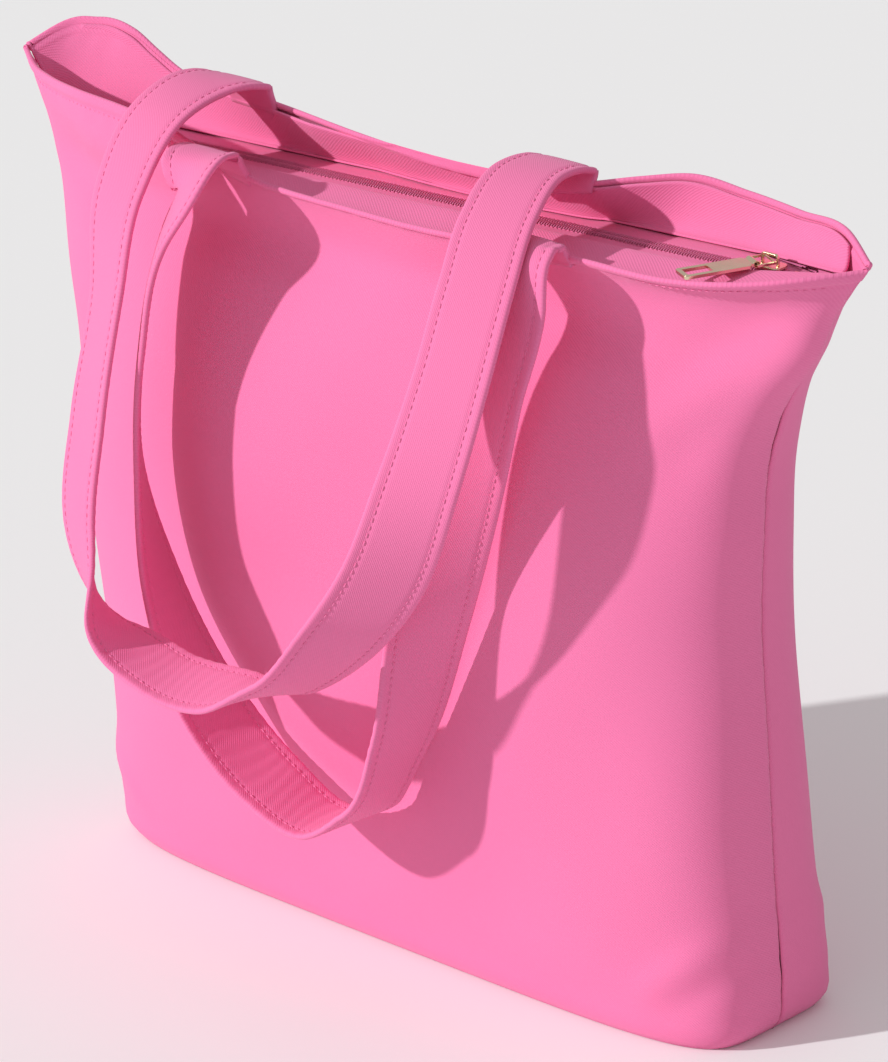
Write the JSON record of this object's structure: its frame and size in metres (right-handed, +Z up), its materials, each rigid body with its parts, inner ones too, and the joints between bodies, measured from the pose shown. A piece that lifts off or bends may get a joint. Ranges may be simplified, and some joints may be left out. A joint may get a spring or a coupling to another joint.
{
  "type": "beach bag",
  "caption": "Roomy boxed canvas shoulder tote for the beach, with a recessed zip closing its mouth and two long flat fabric carry handles folded down over the front.",
  "frame": {"origin": "centre of the bag's base on the ground, the bottom centre of the whole part's box", "axes": "+X along the mouth towards the closed slider, +Z up, the handles hang down the -Y side"},
  "size_m": [0.5338, 0.2083, 0.3936],
  "materials": {
    "canvas": "pink twill canvas, matte",
    "strap_canvas": "pink twill canvas folded in layers and topstitched, matte",
    "thread": "pink sewing thread",
    "zip_tape": "pink woven tape",
    "zip_coil": "pink moulded coil",
    "metal": "pale gold polished plating"
  },
  "bodies": {
    "bag": {"front_panel": "canvas", "back_panel": "canvas", "front_facing": "canvas", "back_facing": "canvas", "left_side_seam": "canvas", "right_side_seam": "canvas", "bottom_seam": "canvas", "left_corner_seam": "canvas", "right_corner_seam": "canvas", "front_rim_stitching": "thread", "back_rim_stitching": "thread", "front_zip_tape": "zip_tape", "back_zip_tape": "zip_tape", "front_zip_coil": "zip_coil", "back_zip_coil": "zip_coil", "zip_top_stops": "metal", "zip_bottom_stop": "metal", "front_handle_ends": "strap_canvas", "back_handle_ends": "strap_canvas"},
    "slider": {"zip_slider_body": "metal", "slider_crown": "metal"},
    "pull_loop": {"pull_link": "metal"},
    "pull": {"pull_tab": "metal"},
    "front_strap": {"front_handle": "strap_canvas", "front_handle_stitching": "thread"},
    "back_strap": {"back_handle": "strap_canvas", "back_handle_stitching": "thread"}
  },
  "joints": [
    {"name": "slider_slide", "type": "slide", "parent": "bag", "child": "slider", "axis": [-0.9994, 0, -0.036], "range_m": [0, 0.4]},
    {"name": "pull_lift", "type": "hinge", "parent": "slider", "child": "pull_loop", "pos_m": [0.2118, 0.0461, 0.37], "axis": [-0.9062, 0.4229, 0], "range_deg": [0, 50]},
    {"name": "tab_fold", "type": "hinge", "parent": "pull_loop", "child": "pull", "pos_m": [0.20842, 0.03885, 0.37], "axis": [-0.9062, 0.4229, 0], "range_deg": [0, 60]},
    {"name": "front_handle_swing", "type": "hinge", "parent": "bag", "child": "front_strap", "pos_m": [0.0008, 0.0011, 0.372], "axis": [-1, 0, 0], "range_deg": [0, 160]},
    {"name": "back_handle_swing", "type": "hinge", "parent": "bag", "child": "back_strap", "pos_m": [0.0008, 0.0501, 0.3875], "axis": [-1, 0, 0], "range_deg": [0, 160]}
  ],
  "couplings": [
    {"joint": "pull_lift", "follows": "slider_slide", "rad_per_m": 2.1},
    {"joint": "back_handle_swing", "follows": "front_handle_swing", "ratio": 1}
  ]
}
